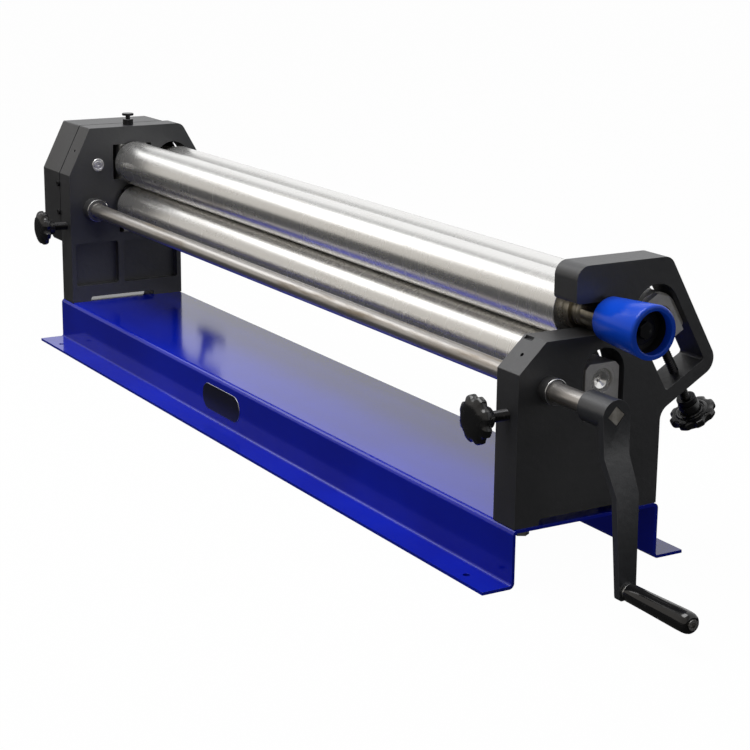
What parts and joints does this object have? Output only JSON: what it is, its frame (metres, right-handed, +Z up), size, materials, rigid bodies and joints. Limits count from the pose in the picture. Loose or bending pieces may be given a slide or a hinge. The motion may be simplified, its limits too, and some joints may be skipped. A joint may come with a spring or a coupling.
{
  "type": "slip roll machine",
  "caption": "Hand-cranked bench slip roll: long steel rolls between cast end frames on a folded base, with a swing-out upper roll, a slanted rear roll and adjusting knobs.",
  "frame": {"origin": "centre of the base's rectangle of bolt holes, on the surface that the base stands on", "axes": "+X along the rolls towards the crank, +Y to the back, +Z up"},
  "size_m": [1.7451, 0.3579, 0.3961],
  "materials": {
    "base": "gloss blue enamel",
    "casting": "satin charcoal paint over cast iron",
    "roll": "ground bright steel",
    "shaft": "oiled turned steel",
    "steel": "machined steel",
    "bronze": "plain bearing bronze",
    "crank": "satin charcoal paint",
    "knob": "moulded black knob",
    "grip": "polished black grip",
    "handle": "gloss blue enamel",
    "black_steel": "blackened steel"
  },
  "bodies": {
    "frame": {"base_plate": "base", "left_casting": "casting", "right_casting": "casting", "foot_bolts": "steel", "gear_cover": "casting", "cover_stud": "steel", "cover_nut": "steel", "cover_screws": "black_steel", "shaft_bush_left": "steel", "shaft_bush_right": "steel", "pivot_screw": "black_steel"},
    "crank": {"crank_shaft": "shaft", "crank_arm": "crank", "crank_pinion": "steel", "crank_key": "steel", "grip_screw": "steel", "crank_ferrule": "steel"},
    "grip": {"crank_grip": "grip"},
    "lower_carriage": {"lower_block_left": "steel", "lower_block_right": "steel", "lower_bush_left": "bronze", "lower_bush_right": "bronze"},
    "lower_roll_set": {"lower_roll": "roll", "lower_roll_gear": "steel", "lower_drive_gear": "steel", "drive_gear_key": "steel", "lower_gear_key": "steel"},
    "wedge_right": {"lower_wedge_right": "steel"},
    "wedge_left": {"lower_wedge_left": "steel"},
    "front_knob_right_set": {"front_screw_right": "black_steel", "front_knob_right": "knob"},
    "front_knob_left_set": {"front_screw_left": "black_steel", "front_knob_left": "knob"},
    "pivot": {"pivot_block": "steel", "pivot_bush": "bronze"},
    "upper_roll_set": {"upper_roll": "roll", "upper_roll_gear": "steel", "upper_gear_key": "steel", "journal_bush": "steel", "handle_washer": "black_steel", "handle_bolt": "black_steel"},
    "handle": {"slip_handle": "handle"},
    "rear_carriage": {"rear_block_left": "steel", "rear_block_right": "steel", "rear_bush_left": "bronze", "rear_bush_right": "bronze"},
    "rear_roll_set": {"rear_roll": "roll"},
    "rear_knob_right_set": {"rear_screw_right": "black_steel", "rear_knob_right": "knob", "rear_lock_nut_right": "black_steel"},
    "rear_knob_left_set": {"rear_screw_left": "black_steel", "rear_knob_left": "knob", "rear_lock_nut_left": "black_steel"}
  },
  "joints": [
    {"name": "crank_turn", "type": "hinge", "parent": "frame", "child": "crank", "pos_m": [0, -0.061, 0.2357], "axis": [1, 0, 0], "continuous": true},
    {"name": "grip_spin", "type": "hinge", "parent": "crank", "child": "grip", "pos_m": [0.92, -0.05053, 0.03597], "axis": [1, 0, 0], "continuous": true},
    {"name": "front_knob_right_turn", "type": "hinge", "parent": "wedge_right", "child": "front_knob_right_set", "pos_m": [0.678, -0.149, 0.206], "axis": [0, 1, 0], "range_deg": [-1080.5, 1080.5]},
    {"name": "front_knob_left_turn", "type": "hinge", "parent": "wedge_left", "child": "front_knob_left_set", "pos_m": [-0.678, -0.149, 0.206], "axis": [0, 1, 0], "range_deg": [-1080.5, 1080.5]},
    {"name": "wedge_right_slide", "type": "slide", "parent": "frame", "child": "wedge_right", "axis": [0, 1, 0], "range_m": [-0.006, 0.006]},
    {"name": "wedge_left_slide", "type": "slide", "parent": "frame", "child": "wedge_left", "axis": [0, 1, 0], "range_m": [-0.006, 0.006]},
    {"name": "lower_lift", "type": "slide", "parent": "frame", "child": "lower_carriage", "axis": [0, 0, 1], "range_m": [-0.001, 0.001]},
    {"name": "lower_roll_spin", "type": "hinge", "parent": "lower_carriage", "child": "lower_roll_set", "pos_m": [0, 0.017, 0.2357], "axis": [1, 0, 0], "continuous": true},
    {"name": "upper_swing", "type": "hinge", "parent": "frame", "child": "pivot", "pos_m": [-0.678, 0.017, 0.3121], "axis": [0, 0, 1], "range_deg": [-5, 0]},
    {"name": "upper_roll_spin", "type": "hinge", "parent": "pivot", "child": "upper_roll_set", "pos_m": [0, 0.017, 0.3121], "axis": [1, 0, 0], "continuous": true},
    {"name": "handle_spin", "type": "hinge", "parent": "upper_roll_set", "child": "handle", "pos_m": [0.74, 0.017, 0.3121], "axis": [1, 0, 0], "continuous": true},
    {"name": "rear_lift", "type": "slide", "parent": "frame", "child": "rear_carriage", "axis": [0, -0.5, 0.866], "range_m": [-0.045, 0.008]},
    {"name": "rear_roll_spin", "type": "hinge", "parent": "rear_carriage", "child": "rear_roll_set", "pos_m": [0, 0.09873, 0.29945], "axis": [1, 0, 0], "continuous": true},
    {"name": "rear_knob_right_turn", "type": "hinge", "parent": "rear_carriage", "child": "rear_knob_right_set", "pos_m": [0.678, 0.17498, 0.16738], "axis": [0, -0.5, 0.866], "range_deg": [-5401, 961]},
    {"name": "rear_knob_left_turn", "type": "hinge", "parent": "rear_carriage", "child": "rear_knob_left_set", "pos_m": [-0.678, 0.17498, 0.16738], "axis": [0, -0.5, 0.866], "range_deg": [-5401, 961]}
  ],
  "couplings": [
    {"joint": "lower_roll_spin", "follows": "crank_turn", "ratio": -0.77273},
    {"joint": "upper_roll_spin", "follows": "crank_turn", "ratio": 0.77273},
    {"joint": "front_knob_right_turn", "follows": "lower_lift", "rad_per_m": 18850},
    {"joint": "front_knob_left_turn", "follows": "lower_lift", "rad_per_m": 18850},
    {"joint": "wedge_right_slide", "follows": "lower_lift", "ratio": 6},
    {"joint": "wedge_left_slide", "follows": "lower_lift", "ratio": 6},
    {"joint": "rear_knob_right_turn", "follows": "rear_lift", "rad_per_m": 2094.4},
    {"joint": "rear_knob_left_turn", "follows": "rear_lift", "rad_per_m": 2094.4}
  ]
}
